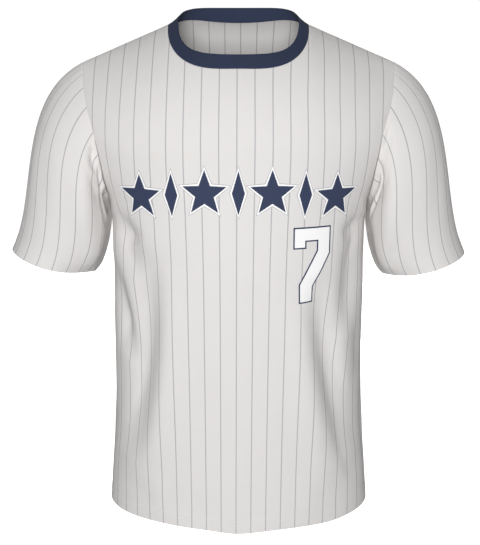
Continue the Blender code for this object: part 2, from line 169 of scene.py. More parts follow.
CLOTH_THICKNESS = 0.0011
SEAM_GAP = 0.0002
SEAM_GROOVE_DEPTH = 0.00025
SEAM_GROOVE_WIDTH = 0.0022
HEM_WIDTH = 0.022
HEM_STEP_WIDTH = 0.0016
HEM_RAISE = 0.0003

STRIPE_PITCH = 0.0236
STRIPE_HALF_WIDTH = 0.00075
STRIPE_SOFTNESS = 0.0004
BODY_STRIPE_SHIFT = 0.0014
JERSEY_WHITE = (0.770, 0.752, 0.738, 1.0)
JERSEY_SHADE = (0.740, 0.722, 0.710, 1.0)
STRIPE_COLOUR = (0.44, 0.43, 0.46, 1.0)
JERSEY_ROUGHNESS = 0.9
CLOTH_GLOSS = 0.2
WALE_WIDTH = 0.0008
COURSE_HEIGHT = 0.0006
KNIT_DEPTH = 0.00018


def curve_through(places, values, at):
    """A smooth curve through the values, with each slope taken from the neighbouring ones."""
    places, values = np.asarray(places), np.asarray(values)
    slopes = np.gradient(values, places)
    at = np.clip(at, places[0], places[-1])
    index = np.clip(np.searchsorted(places, at) - 1, 0, len(places) - 2)
    width = places[index + 1] - places[index]
    t = (at - places[index]) / width
    return (
        values[index] * (1 + 2 * t) * (1 - t) ** 2
        + values[index + 1] * t**2 * (3 - 2 * t)
        + slopes[index] * width * t * (1 - t) ** 2
        - slopes[index + 1] * width * t**2 * (1 - t)
    )


def smooth_step(t):
    t = np.clip(t, 0.0, 1.0)
    return t * t * (3 - 2 * t)


def ring_value(column, level):
    return curve_through([ring.level for ring in RINGS], [getattr(ring, column) for ring in RINGS], level)


class Torso:
    """The form of the front (side -1) or the back (side +1), by level and by angle round the plan."""

    def __init__(self, side, turn, depth_column, hem):
        self.side = side
        self.turn = turn
        self.depth_column = depth_column
        self.hem = hem

    def shoulder_height(self, across):
        across = np.abs(across)
        outer = curve_through([row.across for row in SHOULDER_LINE], [row.height for row in SHOULDER_LINE], across)
        inside = 1 - np.minimum(across / NECK_SEAM.half_width, 1.0) ** self.turn.rise_power
        return outer + self.turn.rise * inside

    def depth(self, level):
        t = np.clip(-level / self.turn.depth, 0.0, 1.0)
        return ring_value(self.depth_column, level) * (1 - (1 - t) ** self.turn.fall) ** self.turn.edge

    def point(self, plan_angle, level):
        power = 2 / ring_value("roundness", level)
        across = np.sign(plan_angle) * np.abs(np.sin(plan_angle)) ** power
        x = ring_value("half_width", level) * across
        y = self.side * self.depth(level) * np.abs(np.cos(plan_angle)) ** power
        slope = smooth_step((level - SHOULDER_SLOPE_START) / -SHOULDER_SLOPE_START)
        sag = curve_through([row.across for row in self.hem], [row.drop for row in self.hem], x)
        sag = sag * (level / BODY_LENGTH) ** HEM_SAG_FADE
        return np.stack([x, y, level + self.shoulder_height(x) * slope - sag], axis=-1)

    def place_under(self, x, reach):
        """The plan angle and level of the point of the panel at x that lies this far from the shoulder plane."""
        levels = np.linspace(SHOULDER_SLOPE_START, 0.0, 400)
        roundness = ring_value("roundness", levels)
        across = np.abs(x) / ring_value("half_width", levels)
        reaches = self.depth(levels) * (1 - across**roundness) ** (1 / roundness)
        level = np.interp(-reach, -reaches, levels)
        across = np.abs(x) / ring_value("half_width", level)
        return np.sign(x) * np.arcsin(across ** (ring_value("roundness", level) / 2)), level

    def cloth_across(self, plan_angle, level):
        """Width of cloth from the middle of the panel to each point, measured square to the stripes."""
        angles = np.linspace(0, math.pi / 2, 160)
        levels = -BODY_LENGTH * (1 - np.linspace(0, 1, 400)) ** 2
        points = self.point(angles[:, None], levels[None, :])
        down = np.gradient(points, axis=1)
        down /= np.linalg.norm(down, axis=-1, keepdims=True)
        steps = np.diff(points, axis=0)
        lengthwise = np.sum(steps * (down[1:] + down[:-1]) / 2, axis=-1)
        square = np.sqrt(np.maximum(np.sum(steps**2, axis=-1) - lengthwise**2, 0))
        widths = np.concatenate([np.zeros((1, len(levels))), np.cumsum(square, axis=0)])
        column = np.interp(np.abs(plan_angle), angles, np.arange(len(angles)))
        row = np.interp(level, levels, np.arange(len(levels)))
        return np.sign(plan_angle) * between(widths, column, row)


def between(grid, row, column):
    """Values of a grid at places between its rows and columns."""
    low_row = np.clip(np.floor(row).astype(int), 0, grid.shape[0] - 2)
    low_column = np.clip(np.floor(column).astype(int), 0, grid.shape[1] - 2)
    t, s = row - low_row, column - low_column
    if grid.ndim > 2:
        t, s = t[..., None], s[..., None]
    return (
        grid[low_row, low_column] * (1 - t) * (1 - s)
        + grid[low_row + 1, low_column] * t * (1 - s)
        + grid[low_row, low_column + 1] * (1 - t) * s
        + grid[low_row + 1, low_column + 1] * t * s
    )


def armhole_angle(level):
    rise = np.clip((level - ARMPIT_LEVEL) / ARMHOLE_CURVE_RISE, 0.0, 1.0)
    turned = (1 - (1 - rise) ** 2) ** ARMHOLE_CURVE_POWER
    return math.pi / 2 - (math.pi / 2 - ARMHOLE_PLAN_ANGLE) * turned


def neck_plan(turn_angle, ring):
    """Plan of a neck ring. The turn angle is 0 at the middle of the front and 180 degrees at the back."""
    sine, cosine = np.sin(turn_angle), np.cos(turn_angle)
    power = 2 / np.where(cosine > 0, ring.front_roundness, ring.back_roundness)
    reach = np.where(cosine > 0, ring.front_reach, ring.back_reach)
    return ring.half_width * np.sign(sine) * np.abs(sine) ** power, reach * np.abs(cosine) ** power


def lengths_along(points, axis=0):
    """Length of the line through a grid's points, up to each of them."""
    steps = np.linalg.norm(np.diff(points, axis=axis), axis=-1)
    start = np.zeros_like(np.take(steps, [0], axis=axis))
    return np.concatenate([start, np.cumsum(steps, axis=axis)], axis=axis)


def neck_turns(torso, count):
    """Turn angles that divide this panel's half of the neck seam evenly, from its -X end to its +X end."""
    quarter = np.linspace(0, math.pi / 2, 200)
    turns = quarter if torso.side < 0 else math.pi - quarter
    line = np.array([torso.point(*torso.place_under(*place)) for place in zip(*neck_plan(turns, NECK_SEAM))])
    lengths = lengths_along(line)
    half = np.interp(np.linspace(0, lengths[-1], count // 2 + 1), lengths, turns)
    return np.concatenate([-half[:0:-1], half])


def profile_length(torso):
    levels = -BODY_LENGTH * (1 - np.linspace(0, 1, 3000)) ** 2
    return levels, lengths_along(torso.point(np.zeros_like(levels), levels))


Grid = namedtuple("Grid", "points levels across along neck turns")


def panel_grid(torso, neck_steps, shoulder_steps):
    """Outer points of a body panel, [column][row], from the hem up to the shoulder seams and the neckline."""
    turns = neck_turns(torso, neck_steps)
    places = np.array([torso.place_under(*place) for place in zip(*neck_plan(turns, NECK_SEAM))])
    outer = np.linspace(places[-1, 0], ARMHOLE_PLAN_ANGLE, shoulder_steps + 1)[1:]
    top_angles = np.concatenate([-outer[::-1], places[:, 0], outer])
    top_levels = np.concatenate([outer * 0, places[:, 1], outer * 0])

    levels, lengths = profile_length(torso)
    armpit_length = np.interp(ARMPIT_LEVEL, levels, lengths)
    below = armpit_length * np.linspace(0, 1, BODY_ROWS + 1) ** HEM_CROWDING
    rise = np.concatenate([below * 0, np.arange(1, ARMHOLE_ROWS + 1) / ARMHOLE_ROWS])
    climb = 1 - (1 - rise[BODY_ROWS + 1 :]) ** TOP_CROWDING
    even = np.linspace(-1, 1, len(top_angles))
    angles, panel_levels = [], []
    for across, top_angle, top_level in zip(
        even * (1 + SIDE_CROWDING) - SIDE_CROWDING * even**3, top_angles, top_levels
    ):
        above = armpit_length + (np.interp(top_level, levels, lengths) - armpit_length) * climb
        level = np.interp(np.concatenate([below, above]), lengths, levels)
        level[-1] = top_level
        angle = across * (math.pi / 2 - np.abs(across) * (math.pi / 2 - armhole_angle(level)))
        angles.append(angle + (top_angle - angle[-1]) * rise**NECK_CROWDING)
        panel_levels.append(level)
    angles, panel_levels = np.array(angles), np.array(panel_levels)
    return Grid(
        torso.point(angles, panel_levels),
        panel_levels,
        torso.cloth_across(angles, panel_levels),
        np.interp(panel_levels, levels, lengths),
        slice(shoulder_steps, shoulder_steps + neck_steps + 1),
        turns,
    )


def grid_normals(points, closed=False):
    """Unit normals of a grid. A closed grid joins its last column to its first."""
    if closed:
        along = (np.roll(points, -1, axis=0) - np.roll(points, 1, axis=0)) / 2
    else:
        along = np.gradient(points, axis=0, edge_order=2)
    normals = np.cross(along, np.gradient(points, axis=1, edge_order=2))
    return normals / np.linalg.norm(normals, axis=-1, keepdims=True)


def across_folds(folds, places):
    """Each fold, how strong it is at every point, and how far the point lies to the outer side of its line."""
    along = np.linspace(0, 1, 25)
    for fold in folds:
        start = np.array([fold.start_x, fold.start_z])
        end = np.array([fold.end_x, fold.end_z])
        side = np.array([start[1] - end[1], end[0] - start[0]]) / np.linalg.norm(end - start)
        line = start + np.outer(along, end - start) + np.outer(4 * along * (1 - along), side) * fold.bend
        best = np.full(places.shape[:2], np.inf)
        nearest = np.zeros(places.shape[:2])
        outer = np.zeros(places.shape[:2])
        for place, (first, last) in zip(along, zip(line[:-1], line[1:])):
            stretch = last - first
            t = np.clip(((places - first) @ stretch) / (stretch @ stretch), 0, 1)
            away = places - first - t[..., None] * stretch
            distance = np.linalg.norm(away, axis=-1)
            nearer = distance < best
            best = np.where(nearer, distance, best)
            nearest = np.where(nearer, place + t / (len(along) - 1), nearest)
            outer = np.where(nearer, np.sign(away[..., 0] * (start[0] + end[0])), outer)
        fade = np.clip(np.sin(math.pi * nearest), 0, 1) ** FOLD_FADE
        yield fold, fade, best * outer


def fold_relief(folds, places):
    """How far the folds move each point of a panel along its normal, from its place in two dimensions."""
    relief = np.zeros(places.shape[:2])
    for fold, fade, distance in across_folds(folds, places):
        relief += fold.depth * fade * np.exp(-((distance / fold.width) ** 2))
    return relief


def stripe_places(grid, folds):
    """Each point's place in the flat panel. The knit stretches over the chest, and deep folds take up cloth."""
    stretch = curve_through([row.level for row in EASE], [row.stretch for row in EASE], grid.levels)
    across = grid.across - stretch * PANEL_HALF_CUT / math.pi * np.sin(grid.across / PANEL_HALF_CUT * math.pi)
    across -= STRIPE_LEAN * grid.levels
    near_shoulder = smooth_step((grid.levels - SHOULDER_LEAN_LEVEL) / SHOULDER_LEAN_REACH)
    across -= SHOULDER_LEAN * near_shoulder * smooth_step(grid.across / SHOULDER_LEAN_REACH)
    for fold, fade, distance in across_folds(folds, grid.points[:, :, [0, 2]]):
        tucked = fold.taken * fade**2 * smooth_step(distance / fold.width / 2 + 0.5)
        across += math.copysign(1, fold.start_x) * tucked
    return np.stack([across, grid.along], axis=-1)


def flatten_seam_normals(normals, shoulder_steps):
    """Front and back share the normal of the side seam and of the shoulder seam, which has no part along Y."""
    for edge in (normals[0, : BODY_ROWS + 1], normals[-1, : BODY_ROWS + 1]):
        edge[:, 1] = 0
    for edge in (normals[: shoulder_steps + 1, -1], normals[-shoulder_steps - 1 :, -1]):
        edge[:, 1] = 0
    normals /= np.linalg.norm(normals, axis=-1, keepdims=True)


def body_panel(torso, neck_steps, shoulder_steps, folds):
    """The grid of a panel with its folds, and its normals. Both panels press in alike at the side seams."""
    grid = panel_grid(torso, neck_steps, shoulder_steps)
    outward = -torso.side
    moved = outward * grid_normals(grid.points) * fold_relief(folds, grid.points[:, :, [0, 2]])[:, :, None]
    across = lengths_along(grid.points, axis=0)
    held = 1 - smooth_step(np.minimum(across, across[-1] - across) / SIDE_HOLD)
    moved *= (1 - held)[:, :, None]
    press = curve_through([row.level for row in SIDE_PRESS], [row.depth for row in SIDE_PRESS], grid.points[:, :, 2])
    moved[:, :, 0] -= np.sign(grid.points[:, :, 0]) * press * held
    points = grid.points + moved
    normals = outward * grid_normals(points)
    flatten_seam_normals(normals, shoulder_steps)
    return grid._replace(points=points), normals


def groove(distance):
    """How far the cloth dips towards a seam at this distance."""
    return -SEAM_GROOVE_DEPTH * np.exp(-((distance / SEAM_GROOVE_WIDTH) ** 2))


def hem_raise(distance):
    """1 on the turned hem, this far from its folded edge, and 0 above the hem's inner edge."""
    return 1 - smooth_step((distance - HEM_WIDTH) / HEM_STEP_WIDTH + 0.5)


def pull_back(points, normals, edge, next_line):
    """Draws one edge of a grid half a seam gap back from the seam, within the cloth."""
    inward = np.cross(normals[edge], np.gradient(points[edge], axis=0))
    inward *= np.sign(np.sum(inward * (points[next_line] - points[edge])))
    points[edge] += inward / np.linalg.norm(inward, axis=-1, keepdims=True) * SEAM_GAP / 2


def finish_panel(grid, normals):
    """Rolls a body panel's edges into their seams and turns up its hem. Returns its outer points and thickness."""
    points = grid.points
    along, across = lengths_along(points, axis=1), lengths_along(points, axis=0)
    side = np.minimum(across, across[-1] - across)
    top = along[:, -1:] - along
    hem = hem_raise(along)
    moved = groove(side) + groove(top) + HEM_RAISE * hem
    finished = points + normals * moved[:, :, None]
    pull_back(finished, normals, 0, 1)
    pull_back(finished, normals, -1, -2)
    pull_back(finished, normals, (slice(None), -1), (slice(None), -2))
    return finished, CLOTH_THICKNESS * (1 + hem)


def shell(name, outer, normals, thickness, grain, closed=False, flipped=False, underarm=None):
    """A closed sheet of cloth with rounded edges. grain holds each point's place in the flat cloth, in metres.
    At the underarm seam's column it holds two, for the cloth before the seam and for the cloth after it."""
    columns, rows = outer.shape[:2]
    inner = outer - normals * thickness[:, :, None]
    sides = [outer, inner]
    vertices = np.concatenate([side.reshape(-1, 3) for side in sides])
    inside = columns * rows
    rims = []

    def at(column, row):
        return (column % columns) * rows + row

    def rim_line(places, next_places):
        """The middle of a rounded edge, a little beyond the two edges of the sheet."""
        first = len(vertices) + sum(len(rim) for rim in rims)
        edge = (vertices[places] + vertices[np.array(places) + inside]) / 2
        beyond = edge - (vertices[next_places] + vertices[np.array(next_places) + inside]) / 2
        beyond /= np.linalg.norm(beyond, axis=1, keepdims=True)
        rims.append(edge + beyond * CLOTH_THICKNESS * 0.35)
        return list(range(first, first + len(places)))

    faces, corners = [], []

    def add(face, places):
        faces.append(face[::-1] if flipped else face)
        corners.append(places[::-1] if flipped else places)

    last = columns if closed else columns - 1
    seamed = [underarm is not None and column >= underarm for column in range(last)]
    for column in range(last):
        near = column + seamed[column]
        for row in range(rows - 1):
            quad = [at(column, row), at(column + 1, row), at(column + 1, row + 1), at(column, row + 1)]
            steps = [(near, row), (near + 1, row), (near + 1, row + 1), (near, row + 1)]
            add(quad, steps)
            add([inside + corner for corner in reversed(quad)], steps[::-1])
    for row, next_row, turned in ((0, 1, True), (rows - 1, rows - 2, False)):
        line = [at(column, row) for column in range(columns)]
        middle = rim_line(line, [at(column, next_row) for column in range(columns)])
        for column in range(last):
            near = column + seamed[column]
            steps = [(near, row), (near + 1, row), (near + 1, row), (near, row)]
            a, b = at(column, row), at(column + 1, row)
            c, d = middle[(column + 1) % columns], middle[column]
            upper, lower = [a, b, c, d], [d, c, inside + b, inside + a]
            for rim in (upper, lower):
                add(rim[::-1] if turned else rim, steps[::-1] if turned else steps)
    if not closed:
        for column, next_column, turned in ((0, 1, False), (columns - 1, columns - 2, True)):
            line = [at(column, row) for row in range(rows)]
            middle = rim_line(line, [at(next_column, row) for row in range(rows)])
            for row in range(rows - 1):
                steps = [(column, row), (column, row + 1), (column, row + 1), (column, row)]
                a, b = at(column, row), at(column, row + 1)
                c, d = middle[row + 1], middle[row]
                for rim in ([a, b, c, d], [d, c, inside + b, inside + a]):
                    add(rim[::-1] if turned else rim, steps[::-1] if turned else steps)

    mesh = bpy.data.meshes.new(name)
    mesh.from_pydata(np.concatenate([vertices, *rims]).tolist(), [], faces)
    layer = mesh.uv_layers.new(name="Grain")
    places = np.array([grain[step] for steps in corners for step in steps])
    layer.uv.foreach_set("vector", places.astype(np.float32).ravel())
    mesh.shade_smooth()
    piece = bpy.data.objects.new(name, mesh)
    bpy.context.scene.collection.objects.link(piece)
    return piece


class Number:
    """A number that varies over a surface. Sums on it add Math nodes to its material."""

    def __init__(self, finish, socket):
        self.finish = finish
        self.socket = socket

    def math(self, operation, *others):
        inputs = dict(enumerate((self, *others)))
        made = self.finish.node("ShaderNodeMath", {"operation": operation}, inputs)
        return Number(self.finish, made.outputs[0])

    def __add__(self, other):
        return self.math("ADD", other)

    def __radd__(self, other):
        return self.math("ADD", other)

    def __sub__(self, other):
        return self.math("SUBTRACT", other)

    def __rsub__(self, other):
        return self.math("MULTIPLY", -1.0).math("ADD", other)

    def __mul__(self, other):
        return self.math("MULTIPLY", other)

    def __rmul__(self, other):
        return self.math("MULTIPLY", other)

    def __truediv__(self, other):
        return self.math("DIVIDE", other)

    def __abs__(self):
        return self.math("ABSOLUTE")


class Finish:
    """One of the shirt's materials, put together node by node."""

    def __init__(self, name, **values):
        self.material = bpy.data.materials.new(name)
        self.material.use_nodes = True
        self.tree = self.material.node_tree
        self.shader = self.tree.nodes["Principled BSDF"]
        for socket, value in values.items():
            self.shader.inputs[socket.replace("_", " ").title()].default_value = value

    def node(self, kind, settings=None, inputs=None):
        made = self.tree.nodes.new(kind)
        for name, value in (settings or {}).items():
            setattr(made, name, value)
        for name, value in (inputs or {}).items():
            self.give(made.inputs[name], value)
        return made

    def give(self, socket, value):
        value = value.socket if isinstance(value, Number) else value
        if isinstance(value, bpy.types.NodeSocket):
            self.tree.links.new(value, socket)
        else:
            socket.default_value = value

    def number(self, socket):
        return Number(self, socket)

    def mix(self, share, first, second):
        """The colour between two colours."""
        made = self.node("ShaderNodeMix", {"data_type": "RGBA"}, {0: share, 6: first, 7: second})
        return made.outputs[2]

    def soft_edge(self, value, start, end):
        """0 up to the start and 1 from the end on, with a smooth change between."""
        made = self.node(
            "ShaderNodeMapRange",
            {"interpolation_type": "SMOOTHSTEP"},
            {"Value": value, "From Min": start, "From Max": end},
        )
        return self.number(made.outputs[0])

    def noise(self, scale, detail=2.0, place=None):
        made = self.node("ShaderNodeTexNoise", None, {"Scale": scale, "Detail": detail})
        self.give(made.inputs["Vector"], place or self.node("ShaderNodeTexCoord").outputs["Object"])
        return self.number(made.outputs["Fac"])

    def grain(self):
        """Where a point lies across and along the flat cloth, in metres."""
        place = self.node("ShaderNodeUVMap", {"uv_map": "Grain"}).outputs["UV"]
        parts = self.node("ShaderNodeSeparateXYZ", None, {"Vector": place})
        return self.number(parts.outputs["X"]), self.number(parts.outputs["Y"])

    def bump(self, height, distance, strength=1.0):
        made = self.node(
            "ShaderNodeBump", None, {"Height": height, "Distance": distance, "Strength": strength}
        )
        self.give(self.shader.inputs["Normal"], made.outputs["Normal"])


def knit_height(finish, across, along):
    """Jersey stitches: columns of small V shapes, rounded over each column."""
    column = (across / WALE_WIDTH).math("FRACT")
    side = abs(column - 0.5) * 2
    loop = ((along / COURSE_HEIGHT + side * 0.5) * math.tau).math("SINE")
    return (1 - side * side) * (0.6 + loop * 0.4)


def striped_jersey(name, stripe_shift):
    finish = Finish(name, roughness=JERSEY_ROUGHNESS, sheen_weight=0.03, sheen_roughness=0.5)
    finish.shader.inputs["Specular IOR Level"].default_value = CLOTH_GLOSS
    across, along = finish.grain()
    to_stripe = (across + stripe_shift).math("PINGPONG", STRIPE_PITCH / 2)
    near, far = STRIPE_HALF_WIDTH - STRIPE_SOFTNESS / 2, STRIPE_HALF_WIDTH + STRIPE_SOFTNESS / 2
    stripe = 1 - finish.soft_edge(to_stripe, near, far)
    stripe = stripe * (0.82 + finish.noise(900.0) * 0.3)
    cloth = finish.mix(finish.noise(35.0, 4.0), JERSEY_WHITE, JERSEY_SHADE)
    finish.give(finish.shader.inputs["Base Color"], finish.mix(stripe, cloth, STRIPE_COLOUR))
    finish.bump(knit_height(finish, across, along), KNIT_DEPTH, 0.6)
    return finish.material


def dress(piece, material, slot, *nodes):
    """Gives a piece its material, lets it ride with the shirt, and hides the imported parts that it stands for."""
    piece.data.materials.append(material)
    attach(piece, "root")
    if nodes:
        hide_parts(*nodes)


def flat_cut(points):
    """Area of one layer of cloth, for a grid of its points."""
    return float(
        np.sum(
            np.linalg.norm(
                np.cross(points[1:, :-1] - points[:-1, :-1], points[:-1, 1:] - points[:-1, :-1]), axis=-1
            )
        )
    )


front_form = Torso(-1, FRONT_TURN, "front_depth", FRONT_HEM)
front_grid, front_normals = body_panel(
    front_form, FRONT_NECK_STEPS, FRONT_SHOULDER_STEPS, FRONT_FOLDS + FRONT_CREASES
)
body_jersey = striped_jersey("body_jersey", BODY_STRIPE_SHIFT)


# Back panel
# The back is cut from the same striped jersey, with a shallower neckline than the front. It hangs straight from
# the shoulder blades, with long soft folds on both sides and short ones under the armpits.
BACK_TURN = Turn(0.027, 5.0, 0.140, 2.0, 0.5)
BACK_HEM = (
    Sag(-0.210, 0.0000),
    Sag(0.000, 0.0010),
    Sag(0.210, 0.0000),
)
BACK_STRIPE_OFFSET = -0.0047
BACK_FOLDS = (
    Fold(-0.120, -0.300, -0.060, -0.600, -0.012, 0.024, -0.0070),
    Fold(0.125, -0.320, 0.070, -0.560, 0.010, 0.022, -0.0065),
    Fold(-0.175, -0.330, -0.188, -0.560, 0.006, 0.018, -0.0060),
    Fold(0.178, -0.350, 0.188, -0.600, -0.006, 0.018, -0.0060),
    Fold(0.000, -0.420, 0.012, -0.690, 0.008, 0.030, -0.0040),
    Fold(-0.188, -0.262, -0.130, -0.312, -0.006, 0.012, -0.0050),
    Fold(0.188, -0.262, 0.125, -0.320, 0.006, 0.012, -0.0050),
)
BACK_CREASES = (
    Fold(-0.170, -0.245, -0.112, -0.268, -0.004, 0.006, -0.0014),
    Fold(-0.150, -0.290, -0.100, -0.345, -0.004, 0.008, -0.0014),
    Fold(-0.085, -0.380, -0.050, -0.520, -0.006, 0.010, -0.0014),
    Fold(-0.150, -0.480, -0.160, -0.640, 0.005, 0.012, 0.0016),
    Fold(-0.040, -0.600, -0.046, -0.725, 0.003, 0.016, -0.0012),
    Fold(0.172, -0.243, 0.116, -0.262, 0.004, 0.006, -0.0014),
    Fold(0.152, -0.300, 0.104, -0.362, 0.004, 0.008, -0.0015),
    Fold(0.098, -0.400, 0.066, -0.500, 0.005, 0.010, -0.0013),
    Fold(0.148, -0.500, 0.160, -0.660, -0.005, 0.012, 0.0015),
    Fold(0.060, -0.610, 0.066, -0.730, 0.003, 0.016, -0.0012),
    Fold(-0.070, -0.100, -0.040, -0.180, -0.004, 0.022, -0.0012),
    Fold(0.072, -0.095, 0.040, -0.170, 0.004, 0.022, -0.0012),
)
BACK_NECK_STEPS = 80
BACK_SHOULDER_STEPS = 46

back_form = Torso(1, BACK_TURN, "back_depth", BACK_HEM)
back_grid, back_normals = body_panel(back_form, BACK_NECK_STEPS, BACK_SHOULDER_STEPS, BACK_FOLDS + BACK_CREASES)


# Sleeves
# Each short sleeve is one piece of the same jersey, with its stripes along the arm, closed under the arm and
# set into the armhole. The cuff is turned up and coverstitched like the hem.
CUFF_OUTER = (0.3445, -0.3235)
CUFF_INNER = (0.2205, -0.3540)
LEFT_CUFF_DROP = (0.0, 0.008)
RIGHT_CUFF_DROP = (-0.005, 0.005)
CUFF_HALF_DEPTH = 0.064
SleeveLine = namedtuple("SleeveLine", "out forward down pull")
SLEEVE_TOP_START = SleeveLine(0.895, 0.0, -0.445, 0.345)
SLEEVE_UNDER_START = SleeveLine(0.02, 0.0, -1.00, 0.100)
SLEEVE_TOP_END = SleeveLine(0.46, 0.0, -0.888, 0.290)
SLEEVE_UNDER_END = SleeveLine(0.72, 0.0, -0.69, 0.120)
SLEEVE_SIDE_BULGE = 0.34
SMOOTH_SEAM_COSINE = 0.6
SLEEVE_FOLD_COUNT = 3
SLEEVE_FOLD_DEPTH = 0.0032
SLEEVE_FOLD_TOP = 0.375
SLEEVE_ROWS = 84
SLEEVE_CROWDING = 0.6
SLEEVE_PASSES = 8
LEFT_STRIPE_SHIFT = 0.0020
RIGHT_STRIPE_SHIFT = 0.0095
LEFT_LEAN = 1.25
RIGHT_LEAN = 1.0
# Places on a sleeve are its distance from the top line, towards the front, and its distance from the armhole.
LEFT_CREASES = (
    Fold(0.146, 0.002, 0.147, 0.031, -0.003, 0.0050, -0.0060),
    Fold(0.145, 0.027, 0.188, 0.044, -0.003, 0.0052, -0.0070),
    Fold(0.184, 0.004, 0.156, 0.021, 0.000, 0.0050, -0.0050),
    Fold(0.150, 0.008, 0.205, 0.014, 0.000, 0.0110, -0.0100),
    Fold(0.134, 0.000, 0.104, 0.020, 0.000, 0.0110, -0.0060),
    Fold(0.202, 0.040, 0.202, 0.125, 0.004, 0.0200, -0.0050),
    Fold(0.150, 0.040, 0.146, 0.135, 0.003, 0.0180, 0.0085),
    Fold(0.060, 0.090, 0.075, 0.190, 0.004, 0.0160, -0.0012),
    Fold(0.100, 0.228, 0.222, 0.088, 0.000, 0.0140, -0.0060),
)
RIGHT_CREASES = (
    Fold(0.150, 0.004, 0.180, 0.036, -0.002, 0.0050, -0.0060),
    Fold(0.166, 0.000, 0.190, 0.018, -0.002, 0.0050, 0.0030),
    Fold(0.176, 0.008, 0.210, 0.030, -0.002, 0.0085, -0.0200),
    Fold(0.166, 0.022, 0.190, 0.060, -0.002, 0.0090, -0.0060),
    Fold(0.202, 0.040, 0.202, 0.125, 0.003, 0.0200, -0.0050),
    Fold(0.126, 0.000, 0.142, 0.026, 0.000, 0.0110, -0.0060),
    Fold(0.148, 0.040, 0.144, 0.135, 0.003, 0.0180, 0.0085),
    Fold(0.064, 0.080, 0.080, 0.180, 0.004, 0.0160, -0.0012),
    Fold(0.100, 0.224, 0.222, 0.084, 0.000, 0.0140, -0.0075),
)
REAR_CREASES = (
    Fold(-0.150, 0.014, -0.118, 0.060, -0.004, 0.007, -0.0028),
    Fold(-0.180, 0.034, -0.152, 0.100, -0.004, 0.007, -0.0034),
    Fold(-0.108, 0.030, -0.088, 0.095, -0.004, 0.012, -0.0018),
    Fold(-0.050, 0.110, -0.066, 0.190, -0.003, 0.016, -0.0012),
)
Lean = namedtuple("Lean", "across shift")
SLEEVE_LEAN = (
    Lean(0.000, 0.0000),
    Lean(0.024, 0.0370),
    Lean(0.046, 0.0390),
    Lean(0.077, 0.0320),
    Lean(0.112, 0.0200),
    Lean(0.140, 0.0165),
    Lean(0.240, 0.0100),
)
CREASE_HOLD = 0.009
LEAN_REACH = 0.26
LEAN_FADE = 2.2


def armhole_ring(side, front, back):
    """One armhole, from the shoulder tip down the front to the armpit and up the back, not repeating the tip."""
    edge = -1 if side > 0 else 0
    return np.concatenate([front[edge, BODY_ROWS:][::-1], back[edge, BODY_ROWS + 1 : -1]])


def ring_angles(ring):
    """0 at the shoulder tip, 180 degrees at the armpit and on round the back, by length along each half."""
    lengths = lengths_along(np.concatenate([ring, ring[:1]]))
    half = ARMHOLE_ROWS
    front = lengths[: half + 1] / lengths[half]
    back = (lengths[half + 1 : -1] - lengths[half]) / (lengths[-1] - lengths[half])
    return math.pi * np.concatenate([front, 1 + back])


def line_vector(top, under, weight, side):
    """A tangent of the sleeve, between its top (weight 1) and its underside (weight 0)."""
    mixed = [weight * a + (1 - weight) * b for a, b in zip(top, under)]
    direction = np.stack([side * mixed[0], mixed[1], mixed[2]], axis=-1)
    return direction / np.linalg.norm(direction, axis=-1, keepdims=True), mixed[3]


def sleeve_grid(side, ring, cuff_drop):
    """Outer points of a sleeve, [place round it][row], from the armhole to the cuff."""
    angle = ring_angles(ring)
    weight = (1 + np.cos(angle)) / 2
    outer, inner = np.array([CUFF_OUTER, CUFF_INNER])
    outer[1] -= cuff_drop[0]
    inner[1] -= cuff_drop[1]
    middle = (outer + inner) / 2 + np.outer(np.cos(angle), outer - inner) / 2
    cuff = np.stack([side * middle[:, 0], -CUFF_HALF_DEPTH * np.sin(angle), middle[:, 1]], axis=-1)

    start, start_pull = line_vector(SLEEVE_TOP_START, SLEEVE_UNDER_START, weight, side)
    start[:, 1] -= SLEEVE_SIDE_BULGE * np.sin(angle)
    end, end_pull = line_vector(SLEEVE_TOP_END, SLEEVE_UNDER_END, weight, side)
    start, end = start * start_pull[:, None], end * end_pull[:, None]

    even = np.linspace(0, 1, SLEEVE_ROWS + 1)
    t = (even - SLEEVE_CROWDING * np.sin(math.tau * even) / math.tau)[None, :, None]
    points = (
        ring[:, None] * (1 + 2 * t) * (1 - t) ** 2
        + cuff[:, None] * t**2 * (3 - 2 * t)
        + start[:, None] * t * (1 - t) ** 2
        - end[:, None] * t**2 * (1 - t)
    )
    return points, angle, t[0, :, 0]


def reach_over(a, b, c, at_a, at_b):
    """Distance from the top line at c, from the distances at a and b, over the triangle that they make."""
    edge, length = b - a, np.linalg.norm(b - a, axis=-1)
    along = np.sum((c - a) * edge, axis=-1) / length
    beside = np.sqrt(np.maximum(np.sum((c - a) ** 2, axis=-1) - along**2, 0))
    slope = np.clip((at_b - at_a) / length, -0.999, 0.999)
    rise = np.sqrt(1 - slope**2)
    foot = along - beside * slope / rise
    straight = at_a + slope * along + rise * beside
    round_a, round_b = (at + np.linalg.norm(c - end, axis=-1) for at, end in ((at_a, a), (at_b, b)))
    return np.where((foot >= 0) & (foot <= length), straight, np.minimum(round_a, round_b))


def cloth_from_top(points):
    """Distance over the form from the first column of a half sleeve, its top line, to each of its points."""
    reach = np.full(points.shape[:2], 1.0)
    reach[0] = 0
    for column in range(1, len(points)):
        before, here = points[column - 1], points[column]
        best = reach[column]
        for _ in range(SLEEVE_PASSES):
            for ahead, behind in ((slice(1, None), slice(None, -1)), (slice(None, -1), slice(1, None))):
                known = reach[column - 1]
                over = reach_over(before[behind], before[ahead], here[ahead], known[behind], known[ahead])
                beside = reach_over(before[behind], here[behind], here[ahead], known[behind], best[behind])
                best[ahead] = np.minimum(best[ahead], np.minimum(over, beside))
    return reach


